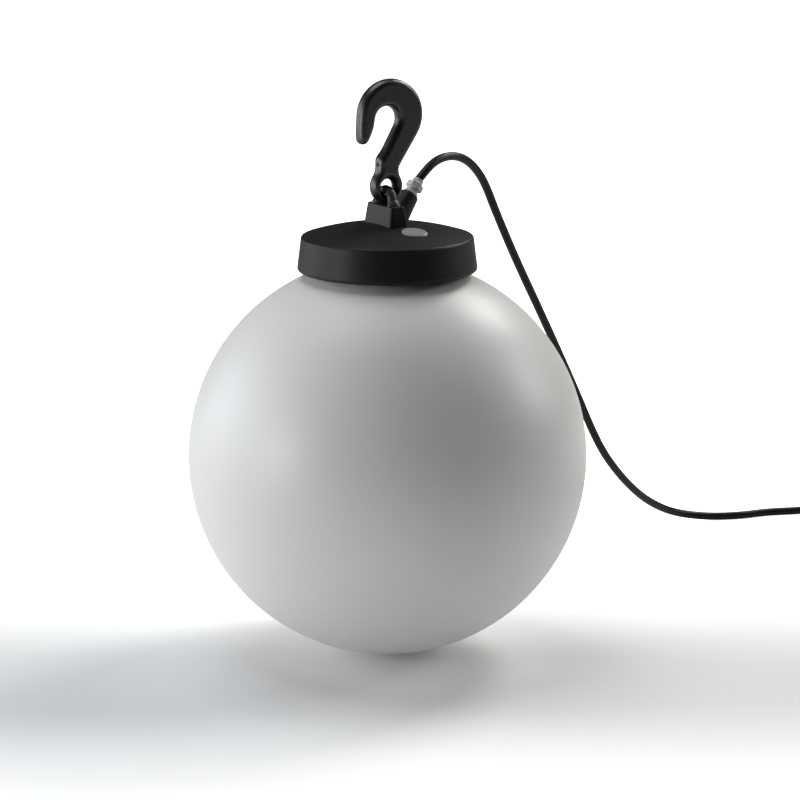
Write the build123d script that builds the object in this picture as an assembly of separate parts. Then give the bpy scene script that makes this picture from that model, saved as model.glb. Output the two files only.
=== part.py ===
from build123d import *
import math
import os

# Garden globe light, standing on its globe. Millimetres, +Z up, +X to the right, +Y away.
# The origin is the centre of the globe's standing ring, on the surface that it stands on.

# Globe
GLOBE_R = 150.0
GLOBE_WALL = 3.0
GLOBE_LIFT = 0.3
FOOT_R_IN = 20.0
FOOT_R_OUT = 23.5
FOOT_H = 3.0
NECK_R = 45.0
NECK_TOP = 310.0
LUG_COUNT = 3
LUG_R = 48.0
LUG_ARC = 28.0
LUG_LOW = 299.3
LUG_HIGH = 303.3

# Cap
CAP_R_BOTTOM = 67.5
CAP_R_TOP = 64.3
CAP_BOTTOM = 292.1
CAP_RIM = 317.6
CAP_APEX = 327.6
CAP_WALL = 2.6
CAP_EDGE_R = 2.2
CAP_RIM_R = 1.8
SEAL_RIB_R_IN = 41.0
SEAL_RIB_R_OUT = 46.0
GASKET_H = 2.5

# Mounting block on the cap; "u" runs along its short side, "b" along its long side
YAW = 32.0
BLOCK_AT_U = -1.2
BLOCK_BASE = (18.5, 39.5)
BLOCK_TOP = (11.8, 35.5)
BLOCK_LOW = 320.0
BLOCK_HIGH = 341.8
BLOCK_CORNER_R = 2.6

# Lifting bow
BOW_R = 12.6
BOW_CENTRE_Z = 343.4
BOW_WIDTH = 7.0
BOW_FOOT_WIDTH = 9.8
BOW_FLARE_TOP = 348.5
BOW_EDGE_R = 1.75
BOW_INNER_HALF = 6.5
BOW_INNER_TOP = 350.0
BOW_INNER_R = 3.5
STUD_R = 3.0
STUD_SPACING = 20.0
STUD_LOW = 316.4
PLATE_LOW = 321.0
PLATE_T = 2.2
NUT_FLATS = 10.0
NUT_H = 4.4

# Hook, drawn in its own plane (u, z)
HOOK_T = 10.0
HOOK_EYE = (-1.2, 355.2)
HOOK_EYE_R = 13.0
HOOK_HOLE_R = 6.35
HOOK_BACK = (1.9, 407.6)
HOOK_BACK_R = 27.4
HOOK_BOWL = (-2.9, 404.2)
HOOK_BOWL_R = 11.0
HOOK_EDGE_R = 2.8
NOTCH = (-0.9, 379.2)
LUG_STEP = (-2.2, 384.2)
HOOK_CORNERS = [
    (NOTCH[0], NOTCH[1], 1.6), (LUG_STEP[0], LUG_STEP[1], 4.0), (-10.86, 363.9, 3), (9.04, 363.2, 3),
    (8.2, 368.6, 4), (-8.4, 368.6, 3), (23.78, 391.11, 10), (6.22, 398.05, 4), (-18.0, 391.1, 3),
    (-25.5, 392.1, 3), (-13.9, 404.2, 3), (-8.4, 374.8, 2), (-4.8, 378.4, 2),
]
HOOK_HOLE_EDGE_R = 1.2
SPRING_HOLE_R = 1.1

# Cable gland
GLAND_FOOT = (5.5, 25.5)
GLAND_YAW = 45.0
GLAND_TILT = 43.0
STUB_LENGTH = 23.2
STUB_R_BASE = 9.6
STUB_R_TOP = 7.3
STUB_EDGE_R = 1.2
NUT_LENGTH = 13.9
CORD_D = 6.6
CORD_BORE_R = 3.5

# Push button, sprung, square to the dome
BUTTON_AT = (20.2, -28.6)
BUTTON_R = 9.6
BUTTON_RAISE = 1.5
BUTTON_SKIRT = 3.2
BUTTON_HOLE_R = 9.9
WELL_DEPTH = 6.2
WELL_FLOOR = 2.0
WELL_R = 11.6
STEM_R = 2.0
STEM_HOLE_R = 2.3
STEM_END = 11.0
SWITCH_R = 6.0
SWITCH_H = 9.5

# Lampholder and its bracket
BRACKET_LOW = 312.0
BRACKET_T = 1.5
BRACKET_HALF = 37.5
BRACKET_W = 22.0
POST_AT = 32.0
POST_R = 4.5
HOLDER_R = 19.5
HOLDER_TOP = 312.0
HOLDER_BOTTOM = 266.0
NIPPLE_R = 5.0
SHELL_R_OUT = 14.3
SHELL_R_IN = 13.6

# Bulb
BULB_R = 29.5
BULB_CAP_LOW = 269.0
BULB_CAP_HIGH = 290.5
BULB_TIP = 294.6
BULB_THREAD_R = 13.1
BULB_ROOT_R = 12.3
BULB_PITCH = 3.6
BULB_SEAM = 226.0
BULB_DOME_DEPTH = 34.0
LED_COUNT = 12

# Neck ring that holds the globe
RING_R_OUT = 59.0
RING_BORE = 45.5
RING_TRACK_R = 48.6
RING_LOW = 295.0
RING_LIP_TOP = 298.9
RING_TOP = 306.5
RING_POST_AT = 54.0
NOTCH_ARC = 34.0
GLOBE_TURN = 40.0
SCREW_R = 1.9
SCREW_HEAD_R = 3.6

# Free cord: corners of its route, chosen by hand, from the gland nut to the coil
CORD_ROUTE = [
    (23.4, 43.4, 353.3),
    (29.3, 49.6, 360.0),
    (36.0, 57.9, 365.3),
    (44.2, 68.6, 367.4),
    (52.8, 79.8, 366.1),
    (60.8, 90.8, 361.2),
    (68.0, 102.0, 352.9),
    (75.4, 114.0, 339.9),
    (84.2, 129.0, 315.3),
    (101.6, 157.0, 271.6),
    (125.6, 191.6, 216.9),
    (152.3, 230.2, 153.9),
    (174.6, 263.0, 97.5),
    (192.0, 288.0, 68.0),
    (209.0, 313.0, 45.2),
    (226.0, 339.0, 26.8),
    (249.0, 369.0, 10.1),
    (280.0, 382.0, 3.3),
    (309.0, 386.0, 3.3),
    (332.0, 398.0, 3.3),
    (354.0, 402.0, 3.3),
    (380.0, 408.0, 3.4),
    (406.0, 411.0, 3.7),
    (429.4, 410.6, 4.1),
]
TAIL_ROUTE = [
    (482.6, 357.4, 10.9),
    (482.6, 344.0, 11.0),
    (478.6, 328.0, 11.6),
    (467.5, 314.5, 12.5),
    (462.3, 300.0, 13.0),
    (462.0, 286.0, 13.0),
]
ARC_SHARE = 0.45

# Coil of spare cord and the strap round it
COIL_AT = (429.4, 357.4)
COIL_R_MID = 39.6
COIL_ROWS = 5
COIL_LAYERS = 2
TURN_PITCH = 6.8
COIL_LIFT = 0.8
COIL_TURNS = 8.25
TIE_ANGLE = 225.0
TIE_W = 9.0
TIE_T = 0.8

# Plug
PLUG_X = 462.0
PLUG_Z = 13.0
PLUG_END = 286.0
RELIEF_LENGTH = 22.0
PLUG_LENGTH = 36.0
PLUG_FACE = (36.0, 26.0)
PLUG_REAR = (17.0, 14.0)
PIN_R = 2.4
PIN_LENGTH = 19.0
PIN_SPACING = 19.0
PIN_ROOT = 3.0
PIN_GAP = 0.6
PIN_NECK_R = 2.0
PIN_TIP_R = 1.6

EPS = 0.01
U = Vector(math.cos(math.radians(YAW)), math.sin(math.radians(YAW)), 0)
B = Vector(-math.sin(math.radians(YAW)), math.cos(math.radians(YAW)), 0)
GLOBE_Z = GLOBE_R + GLOBE_LIFT
DOME_RISE = CAP_APEX - CAP_RIM
DOME_R = (CAP_R_TOP**2 + DOME_RISE**2) / (2 * DOME_RISE)
DOME_CENTRE_Z = CAP_APEX - DOME_R
CORD_R = CORD_D / 2


# ---------------------------------------------------------------- helpers

def dome_z(x, y):
    """Height of the cap's outer surface above a point of the plan."""
    return DOME_CENTRE_Z + math.sqrt(DOME_R**2 - x * x - y * y)


def cyl(radius, low, high, x=0.0, y=0.0):
    """Upright cylinder between two heights."""
    return Pos(x, y, (low + high) / 2) * Cylinder(radius, high - low)


def ring(r_out, r_in, low, high, x=0.0, y=0.0):
    """Upright tube between two heights."""
    return cyl(r_out, low, high, x, y) - cyl(r_in, low - 1, high + 1, x, y)


def turned(points):
    """Solid of revolution about Z of a closed outline of (r, z) points."""
    outline = Plane.XZ * make_face(Polyline(*points, close=True))
    return revolve(outline, Axis.Z, 360)


def hexagon(flats, low, high, x=0.0, y=0.0):
    """Upright hexagonal prism, across flats."""
    return extrude(Pos(x, y, low) * RegularPolygon(flats / 2, 6, major_radius=False), high - low)


def sector(radius, angle, arc, low, high):
    """Wedge of a disc centred on an angle, for cutting or keeping part of a ring."""
    half = math.radians(arc / 2)
    reach = radius / math.cos(half)
    corners = [(0, 0), (reach * math.cos(half), -reach * math.sin(half)),
               (reach * math.cos(half), reach * math.sin(half))]
    wedge = make_face(Polyline(*corners, close=True))
    return Rot(0, 0, angle) * extrude(Pos(0, 0, low) * wedge, high - low)


def plan(u, b, z):
    """Point from the mounting block's own directions."""
    return U * u + B * b + Vector(0, 0, z)


def wire(points, radius, bend):
    """Round wire along straight runs with one bend radius."""
    path = FilletPolyline(*points, radius=bend)
    section = Plane(origin=path @ 0, z_dir=path % 0) * Circle(radius)
    return sweep(section, path=path)


def all_of(solids):
    """One node that holds several separate solids."""
    return Compound(children=[s for s in solids])


def gland_place():
    """Plane at the gland stub's foot on the dome, Z along the gland."""
    tilt = math.radians(GLAND_TILT)
    yaw = math.radians(GLAND_YAW)
    axis = Vector(math.sin(tilt) * math.cos(yaw), math.sin(tilt) * math.sin(yaw), math.cos(tilt))
    x, y = GLAND_FOOT
    return Plane(origin=(x, y, dome_z(x, y)), z_dir=axis)


def button_place():
    """Plane at the button's centre on the dome, Z along the surface normal."""
    x, y = BUTTON_AT
    z = dome_z(x, y)
    return Plane(origin=(x, y, z), z_dir=Vector(x, y, z - DOME_CENTRE_Z))


def local_cyl(place, radius, low, high):
    """Cylinder along a plane's own Z."""
    return place * (Pos(0, 0, (low + high) / 2) * Cylinder(radius, high - low))


def local_turned(place, points):
    """Solid of revolution about a plane's own Z."""
    return place * turned(points)


# ---------------------------------------------------------------- globe

def globe_diffuser():
    """Opal globe with its neck, bayonet lugs and standing ring."""
    outside = Pos(0, 0, GLOBE_Z) * Sphere(GLOBE_R)
    outside += cyl(NECK_R, GLOBE_Z, NECK_TOP)
    outside += cyl(FOOT_R_OUT, 0, FOOT_H) - cyl(FOOT_R_IN, -1, FOOT_H - EPS)
    inside = Pos(0, 0, GLOBE_Z) * Sphere(GLOBE_R - GLOBE_WALL)
    inside += cyl(NECK_R - GLOBE_WALL, GLOBE_Z, NECK_TOP + 1)
    body = outside - inside
    band = ring(LUG_R, NECK_R - 1, LUG_LOW, LUG_HIGH)
    for i in range(LUG_COUNT):
        body += band & sector(LUG_R + 2, i * 360 / LUG_COUNT, LUG_ARC, LUG_LOW - 1, LUG_HIGH + 1)
    return body


# ---------------------------------------------------------------- cap

def cap_solid():
    """The cap's outer shape, filled."""
    dome_mid = (CAP_R_TOP / 2, dome_z(CAP_R_TOP / 2, 0))
    edge = Line((0, CAP_BOTTOM), (CAP_R_BOTTOM, CAP_BOTTOM))
    side = Line((CAP_R_BOTTOM, CAP_BOTTOM), (CAP_R_TOP, CAP_RIM))
    dome = ThreePointArc((CAP_R_TOP, CAP_RIM), dome_mid, (0, CAP_APEX))
    axis = Line((0, CAP_APEX), (0, CAP_BOTTOM))
    face = make_face([edge, side, dome, axis])
    bottom = [v for v in face.vertices() if v.X > 1 and v.Y < CAP_BOTTOM + 1]
    face = fillet(bottom, CAP_EDGE_R)
    rim = [v for v in face.vertices() if v.X > CAP_R_TOP - 1 and v.Y > CAP_RIM - 1]
    face = fillet(rim, CAP_RIM_R)
    return revolve(Plane.XZ * face, Axis.Z, 360)


def cap_hollow():
    """The space inside the cap's wall."""
    top_r = CAP_R_TOP - CAP_WALL
    wall_top = DOME_CENTRE_Z + math.sqrt((DOME_R - CAP_WALL) ** 2 - top_r**2)
    mid = (top_r / 2, DOME_CENTRE_Z + math.sqrt((DOME_R - CAP_WALL) ** 2 - (top_r / 2) ** 2))
    bottom_r = CAP_R_BOTTOM - CAP_WALL
    face = make_face([
        Line((0, CAP_BOTTOM - 1), (bottom_r, CAP_BOTTOM - 1)),
        Line((bottom_r, CAP_BOTTOM - 1), (top_r, wall_top)),
        ThreePointArc((top_r, wall_top), mid, (0, CAP_APEX - CAP_WALL)),
        Line((0, CAP_APEX - CAP_WALL), (0, CAP_BOTTOM - 1)),
    ])
    return revolve(Plane.XZ * face, Axis.Z, 360)


def mounting_block():
    """Tapered block that carries the bow."""
    low = Pos(0, 0, BLOCK_LOW) * fillet(Rectangle(*BLOCK_BASE).vertices(), BLOCK_CORNER_R)
    high = Pos(0, 0, BLOCK_HIGH) * fillet(Rectangle(*BLOCK_TOP).vertices(), BLOCK_CORNER_R)
    block = loft([low, high])
    top = block.edges().filter_by(lambda e: e.center().Z > BLOCK_HIGH - EPS)
    return Rot(0, 0, YAW) * Pos(BLOCK_AT_U, 0, 0) * fillet(top, 1.0)


def gland_stub():
    """Moulded stub that the cord's gland nut screws into."""
    stub = Solid.make_cone(STUB_R_BASE + 0.9, STUB_R_TOP, STUB_LENGTH + 8)
    stub = Pos(0, 0, -8) * stub
    top = stub.edges().filter_by(lambda e: e.center().Z > STUB_LENGTH - EPS)
    return gland_place() * fillet(top, STUB_EDGE_R)


def cap_housing():
    """Domed cap with the block, gland stub, button well, seal rib and screw posts."""
    outer = cap_solid()
    body = outer - cap_hollow()
    rib = ring(SEAL_RIB_R_OUT, SEAL_RIB_R_IN, NECK_TOP + 0.3 + GASKET_H, CAP_APEX)
    body += rib & outer
    for side in (-1, 1):
        at = plan(side * POST_AT, 0, 0)
        post = cyl(POST_R, BRACKET_LOW + BRACKET_T, CAP_APEX, at.X, at.Y) & outer
        body += post
    for i in range(LUG_COUNT):
        at = Vector(RING_POST_AT, 0, 0).rotate(Axis.Z, 60 + i * 120)
        body += cyl(POST_R, RING_TOP, CAP_APEX, at.X, at.Y) & outer
    floor = Rot(0, 0, YAW) * (Pos(BLOCK_AT_U, 0, (PLATE_LOW + PLATE_T + CAP_APEX) / 2)
                              * Box(15, 36, CAP_APEX - PLATE_LOW - PLATE_T))
    body += floor & outer
    well = button_place()
    body += local_cyl(well, WELL_R, -WELL_DEPTH - WELL_FLOOR, -1) & outer
    body += mounting_block() - cap_hollow()
    body += gland_stub() - (cap_hollow() - cyl(13, 300, 330, *GLAND_FOOT))
    body -= local_cyl(well, BUTTON_HOLE_R, -WELL_DEPTH, 5)
    body -= local_cyl(well, STEM_HOLE_R, -WELL_DEPTH - WELL_FLOOR - 1, 0)
    body -= local_cyl(gland_place(), CORD_BORE_R, -20, STUB_LENGTH + 1)
    body -= local_cyl(gland_place(), 5.2, STUB_LENGTH - 9, STUB_LENGTH + 1)
    for side in (-1, 1):
        at = plan(BLOCK_AT_U, side * STUD_SPACING / 2, 0)
        body -= cyl(STUD_R + 0.1, STUD_LOW - 2, BLOCK_HIGH + 1, at.X, at.Y)
        at = plan(side * POST_AT, 0, 0)
        body -= cyl(SCREW_R, BRACKET_LOW, BRACKET_LOW + BRACKET_T + 7, at.X, at.Y)
    for i in range(LUG_COUNT):
        at = Vector(RING_POST_AT, 0, 0).rotate(Axis.Z, 60 + i * 120)
        body -= cyl(SCREW_R, RING_TOP - 1, RING_TOP + 7, at.X, at.Y)
    return body


# ---------------------------------------------------------------- bow and hook

def lifting_bow():
    """Steel bow with two threaded studs that pass through the block."""
    upright = Plane(origin=plan(BLOCK_AT_U, 0, 0), x_dir=B, z_dir=U)
    outer = Pos(0, BOW_CENTRE_Z) * Circle(BOW_R)
    outer += Pos(0, (BLOCK_HIGH + BOW_CENTRE_Z) / 2) * Rectangle(2 * BOW_R, BOW_CENTRE_Z - BLOCK_HIGH)
    outer &= Pos(0, BLOCK_HIGH + BOW_R) * Rectangle(3 * BOW_R, 2 * BOW_R)
    height = BOW_INNER_TOP - BLOCK_HIGH + 4
    gap = Pos(0, BOW_INNER_TOP - height / 2) * RectangleRounded(2 * BOW_INNER_HALF, height, BOW_INNER_R)
    arch = extrude(upright * (outer - gap), BOW_FOOT_WIDTH / 2, both=True)
    foot = BOW_FOOT_WIDTH / 2
    half = BOW_WIDTH / 2
    top = BOW_CENTRE_Z + BOW_R + 1
    side = [(-foot, BLOCK_HIGH), (foot, BLOCK_HIGH), (half, BOW_FLARE_TOP), (half, top), (-half, top),
            (-half, BOW_FLARE_TOP)]
    profile = Plane(origin=plan(BLOCK_AT_U, 0, 0), x_dir=U, z_dir=-B) * make_face(Polyline(*side, close=True))
    arch &= extrude(profile, 2 * BOW_R, both=True)
    faces = arch.faces().filter_by(lambda f: abs(f.normal_at().dot(U)) > 0.9)
    edges = [e for f in faces for e in f.edges() if e.center().Z > BLOCK_HIGH + 0.5]
    edges = [e for e in edges if abs(e.center().Z - BOW_FLARE_TOP) > EPS]
    arch = fillet(edges, BOW_EDGE_R)
    for side in (-1, 1):
        at = plan(BLOCK_AT_U, side * STUD_SPACING / 2, 0)
        arch += cyl(STUD_R, STUD_LOW, BLOCK_HIGH + 1, at.X, at.Y)
    return arch


def bow_plate():
    """Steel plate inside the cap that spreads the bow's pull."""
    plate = extrude(Pos(BLOCK_AT_U, 0, PLATE_LOW) * RectangleRounded(12, 32, 3), PLATE_T)
    plate = Rot(0, 0, YAW) * plate
    for side in (-1, 1):
        at = plan(BLOCK_AT_U, side * STUD_SPACING / 2, 0)
        plate -= cyl(STUD_R + 0.1, PLATE_LOW - 1, PLATE_LOW + PLATE_T + 1, at.X, at.Y)
    return plate


def bow_nuts():
    """The two nuts on the bow's studs."""
    nuts = []
    for side in (-1, 1):
        at = plan(BLOCK_AT_U, side * STUD_SPACING / 2, 0)
        nut = hexagon(NUT_FLATS, PLATE_LOW - NUT_H, PLATE_LOW, at.X, at.Y)
        nuts.append(nut - cyl(STUD_R, PLATE_LOW - NUT_H - 1, PLATE_LOW + 1, at.X, at.Y))
    return all_of(nuts)


def hook_outline():
    """The hook's outline in its own plane: tip, back, shank, eye, lug and bowl."""
    back_x, back_z = HOOK_BACK
    bowl_x, bowl_z = HOOK_BOWL
    eye_x, eye_z = HOOK_EYE

    def on_circle(x, z, radius, degrees):
        return (x + radius * math.cos(math.radians(degrees)), z + radius * math.sin(math.radians(degrees)))

    shoulder = (back_x - HOOK_BACK_R, back_z)
    hip = on_circle(back_x, back_z, HOOK_BACK_R, -37)
    neck = (8.2, 368.6)
    eye_right = on_circle(eye_x, eye_z, HOOK_EYE_R, 38)
    eye_left = on_circle(eye_x, eye_z, HOOK_EYE_R, 138)
    bowl_right = on_circle(bowl_x, bowl_z, HOOK_BOWL_R, -34)
    bowl_left = on_circle(bowl_x, bowl_z, HOOK_BOWL_R, 180)
    tip_out = (shoulder[0], 392.1)
    tip_in = (-18.0, 391.1)
    lines = [
        Line(tip_out, shoulder),
        ThreePointArc(shoulder, on_circle(back_x, back_z, HOOK_BACK_R, 72), hip),
        Line(hip, neck),
        ThreePointArc(neck, (8.0, 365.7), eye_right),
        ThreePointArc(eye_right, on_circle(eye_x, eye_z, HOOK_EYE_R, -92), eye_left),
        ThreePointArc(eye_left, (-9.0, 365.9), (-8.4, 368.6)),
        Line((-8.4, 368.6), (-8.4, 374.8)),
        ThreePointArc((-8.4, 374.8), (-7.4, 377.3), (-4.8, 378.4)),
        Line((-4.8, 378.4), NOTCH),
        Line(NOTCH, LUG_STEP),
        Line(LUG_STEP, bowl_right),
        ThreePointArc(bowl_right, on_circle(bowl_x, bowl_z, HOOK_BOWL_R, 73), bowl_left),
        ThreePointArc(bowl_left, (-15.1, 397.6), tip_in),
        ThreePointArc(tip_in, (-21.6, 388.2), tip_out),
    ]
    face = make_face(lines)
    for x, z, radius in HOOK_CORNERS:
        corner = [v for v in face.vertices() if math.hypot(v.X - x, v.Y - z) < 0.1]
        face = fillet(corner, radius)
    return face.faces()[0]


def hook():
    """Forged eye hook with a drilled lug for a latch."""
    upright = Plane(origin=(0, 0, 0), x_dir=U, z_dir=-B)
    face = hook_outline()
    body = extrude(upright * face, HOOK_T / 2, both=True)
    flats = body.faces().filter_by(lambda f: abs(f.normal_at().dot(B)) > 0.99)
    body = fillet([e for f in flats for e in f.edges()], HOOK_EDGE_R)
    eye_x, eye_z = HOOK_EYE
    hole = extrude(upright * (Pos(eye_x, eye_z) * Circle(HOOK_HOLE_R)), HOOK_T, both=True)
    body -= hole
    mouths = [e for e in body.edges() if abs(e.length - 2 * math.pi * HOOK_HOLE_R) < 0.05]
    body = fillet(mouths, HOOK_HOLE_EDGE_R)
    drill = Plane(origin=plan(-9.5, 2.7, 371.6), z_dir=U) * (Pos(0, 0, 2.5) * Cylinder(SPRING_HOLE_R, 5))
    return body - drill


# ---------------------------------------------------------------- gland

def gland_nut():
    """Nylon compression nut: flange, waist, hexagonal grip and collar, with a threaded skirt."""
    start = STUB_LENGTH
    bore = CORD_R + 0.1
    outline = [
        (bore, start - 7.5), (5.0, start - 7.5), (5.0, start), (5.7, start), (5.7, start + 1.6),
        (4.5, start + 3.6), (4.4, start + 5.2), (5.9, start + 6.2), (5.9, start + 9.6),
        (4.7, start + 10.8), (4.3, start + 11.2), (4.1, start + NUT_LENGTH), (bore, start + NUT_LENGTH),
    ]
    body = local_turned(gland_place(), outline)
    grip = gland_place() * extrude(Pos(0, 0, start + 5.6) * RegularPolygon(5.75, 6, major_radius=False), 4.2)
    return body + (grip - local_cyl(gland_place(), bore, start, start + NUT_LENGTH))


def gland_seal():
    """Rubber sleeve that the nut squeezes round the cord."""
    start = STUB_LENGTH - 9
    return local_turned(gland_place(), [
        (CORD_R + 0.05, start), (5.1, start), (5.1, start + 1.4), (CORD_R + 0.05, start + 1.4)])


def cord_inner_end():
    """Sheathed end of the cord, inside the gland and the cap."""
    return local_cyl(gland_place(), CORD_R, -14.0, STUB_LENGTH + NUT_LENGTH)


# ---------------------------------------------------------------- button and switch

def push_button():
    """Sealed push button with its stem."""
    top = BUTTON_RAISE
    cap = local_turned(button_place(), [
        (0, -BUTTON_SKIRT), (BUTTON_R, -BUTTON_SKIRT), (BUTTON_R, top - 1.3), (BUTTON_R - 0.25, top - 0.8),
        (BUTTON_R - 0.9, top - 0.4), (BUTTON_R - 3.0, top - 0.1), (0, top)])
    return cap + local_cyl(button_place(), STEM_R, -STEM_END, -BUTTON_SKIRT + 0.5)


def button_boot():
    """Rubber boot in the well: seals the stem and returns the button."""
    floor = -WELL_DEPTH
    top = -BUTTON_SKIRT - 0.15
    return local_turned(button_place(), [
        (7.2, floor), (9.4, floor), (9.4, floor + 0.9), (7.9, floor + 1.0), (5.2, top), (2.6, top),
        (2.6, top - 0.8), (4.9, top - 0.8), (7.2, floor + 0.5)])


def switch_body():
    """Push switch under the button well."""
    high = -WELL_DEPTH - WELL_FLOOR
    body = local_cyl(button_place(), SWITCH_R, high - SWITCH_H, high)
    return body - local_cyl(button_place(), STEM_HOLE_R, high - 5.5, high + 1)


# ---------------------------------------------------------------- lampholder

def holder_bracket():
    """Folded steel strap across the cap that carries the lampholder."""
    strap = extrude(Pos(0, 0, BRACKET_LOW) * RectangleRounded(2 * BRACKET_HALF, BRACKET_W, 6), BRACKET_T)
    strap = Rot(0, 0, YAW) * strap
    strap -= cyl(NIPPLE_R + 0.1, BRACKET_LOW - 1, BRACKET_LOW + BRACKET_T + 1)
    for side in (-1, 1):
        at = plan(side * POST_AT, 0, 0)
        strap -= cyl(SCREW_R + 0.2, BRACKET_LOW - 1, BRACKET_LOW + BRACKET_T + 1, at.X, at.Y)
    return strap


def screw(x, y, seat, length):
    """Pan-head screw driven upwards, its head below the seat height."""
    head = cyl(SCREW_HEAD_R, seat - 2.2, seat, x, y)
    slot = Pos(x, y, seat - 2.0) * Box(2 * SCREW_HEAD_R + 1, 0.8, 1.2)
    return head - slot + cyl(SCREW_R, seat - 0.5, seat + length, x, y)


def bracket_screws():
    """The two screws that hold the bracket to the cap's posts."""
    places = [plan(side * POST_AT, 0, 0) for side in (-1, 1)]
    return all_of([screw(p.X, p.Y, BRACKET_LOW, 7.5) for p in places])


def holder_nipple():
    """Hollow threaded tube between the bracket and the lampholder."""
    return ring(NIPPLE_R, 3.6, HOLDER_TOP - 7, BRACKET_LOW + BRACKET_T + 2.3)


def nipple_nut():
    """Flat nut on the nipple, on top of the bracket."""
    low = BRACKET_LOW + BRACKET_T
    return hexagon(14.0, low, low + 2.2) - cyl(NIPPLE_R, low - 1, low + 4)


def holder_body():
    """Plastic lampholder body, open at the bottom for the bulb."""
    inner = SHELL_R_OUT + 0.1
    body = turned([
        (inner, HOLDER_BOTTOM), (HOLDER_R - 0.8, HOLDER_BOTTOM), (HOLDER_R, HOLDER_BOTTOM + 0.8),
        (HOLDER_R, 292.0), (HOLDER_R - 0.9, 293.0), (HOLDER_R - 0.9, HOLDER_TOP - 1.5),
        (HOLDER_R - 2.4, HOLDER_TOP), (0, HOLDER_TOP), (0, 299.0), (inner, 299.0)])
    return body - cyl(NIPPLE_R, HOLDER_TOP - 7, HOLDER_TOP + 1)


def holder_shell():
    """Brass screw shell of the lampholder."""
    return ring(SHELL_R_OUT, SHELL_R_IN, HOLDER_BOTTOM + 2, 293.0)


def holder_contact():
    """Centre contact with its spring tongue."""
    tongue = Pos(0, 0, 295.4) * Box(7, 5, 0.8)
    return cyl(4.5, 298.0, 299.0) + Pos(2.9, 0, 296.6) * Box(1.2, 5, 3.2) + tongue


# ---------------------------------------------------------------- bulb

def bulb_screw_cap():
    """Threaded metal cap of the bulb: rounded ridges one pitch apart."""
    points = [(11.4, BULB_CAP_LOW), (BULB_THREAD_R - 0.1, BULB_CAP_LOW)]
    steps = 4 * int((BULB_CAP_HIGH - 3 - BULB_CAP_LOW - 1) / BULB_PITCH)
    middle = (BULB_THREAD_R + BULB_ROOT_R) / 2
    swing = (BULB_THREAD_R - BULB_ROOT_R) / 2
    for i in range(steps + 1):
        z = BULB_CAP_LOW + 1 + i * BULB_PITCH / 4
        points.append((middle + swing * math.cos(math.pi * i / 2), z))
    points += [(10.5, BULB_CAP_HIGH - 0.8), (9.0, BULB_CAP_HIGH), (7.5, BULB_CAP_HIGH),
               (7.5, BULB_CAP_HIGH - 1.2), (11.0, BULB_CAP_HIGH - 4)]
    return turned(points)


def bulb_insulator():
    """Black glass insulator in the end of the bulb's cap."""
    return turned([(4.9, BULB_CAP_HIGH - 1.2), (7.5, BULB_CAP_HIGH - 1.2), (7.5, BULB_CAP_HIGH),
                   (5.6, BULB_TIP - 1.6), (4.9, BULB_TIP - 1.6)])


def bulb_contact():
    """Solder tip of the bulb."""
    return turned([(0, BULB_CAP_HIGH - 1.2), (4.9, BULB_CAP_HIGH - 1.2), (4.9, BULB_TIP - 1.0),
                   (3.4, BULB_TIP - 0.2), (0, BULB_TIP)])


def bulb_housing():
    """Ribbed plastic body of the bulb, widening to the light dome."""
    outer = [(11.2, 275.0), (11.2, BULB_CAP_LOW), (13.3, BULB_CAP_LOW), (13.8, 264.0), (16.5, 254.0),
             (22.0, 243.0), (27.6, 234.5), (BULB_R, 230.0), (BULB_R, BULB_SEAM)]
    inner = [(BULB_R - 1.6, BULB_SEAM), (BULB_R - 1.6, 230.0), (26.2, 233.5), (20.6, 242.0),
             (15.0, 253.0), (12.2, 263.0), (9.8, 268.0), (9.8, 275.0)]
    return turned(outer + inner)


def led_board():
    """Round aluminium board of the bulb."""
    return cyl(26.0, BULB_SEAM + 0.4, BULB_SEAM + 2.0) - cyl(2.0, BULB_SEAM, BULB_SEAM + 3)


def led_chips():
    """Light-emitting chips on the underside of the board."""
    chips = []
    for i in range(LED_COUNT):
        at = Vector(18, 0, 0).rotate(Axis.Z, i * 360 / LED_COUNT)
        chips.append(Pos(at.X, at.Y, BULB_SEAM + 0.05) * Rot(0, 0, i * 360 / LED_COUNT) * Box(2.8, 3.5, 0.7))
    return all_of(chips)


def driver_board():
    """Small circuit board upright in the bulb's body."""
    board = Pos(0, 0, 245.0) * Box(17, 1.4, 32)
    return board + Pos(3, 3.2, 240.0) * Box(6, 5, 10) + Pos(-4, 2.7, 250.0) * Box(5, 4, 7)


def bulb_dome():
    """Opal light dome of the bulb, a thin shell."""
    outer = [(BULB_R * math.cos(t), BULB_SEAM - BULB_DOME_DEPTH * math.sin(t))
             for t in [math.radians(a) for a in range(0, 91, 10)]]
    inner = [((BULB_R - 1.3) * math.cos(t), BULB_SEAM - (BULB_DOME_DEPTH - 1.3) * math.sin(t))
             for t in [math.radians(a) for a in range(90, -1, -10)]]
    outer[-1] = (0, outer[-1][1])
    inner[0] = (0, inner[0][1])
    return turned(outer + inner)


# ---------------------------------------------------------------- neck ring

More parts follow.
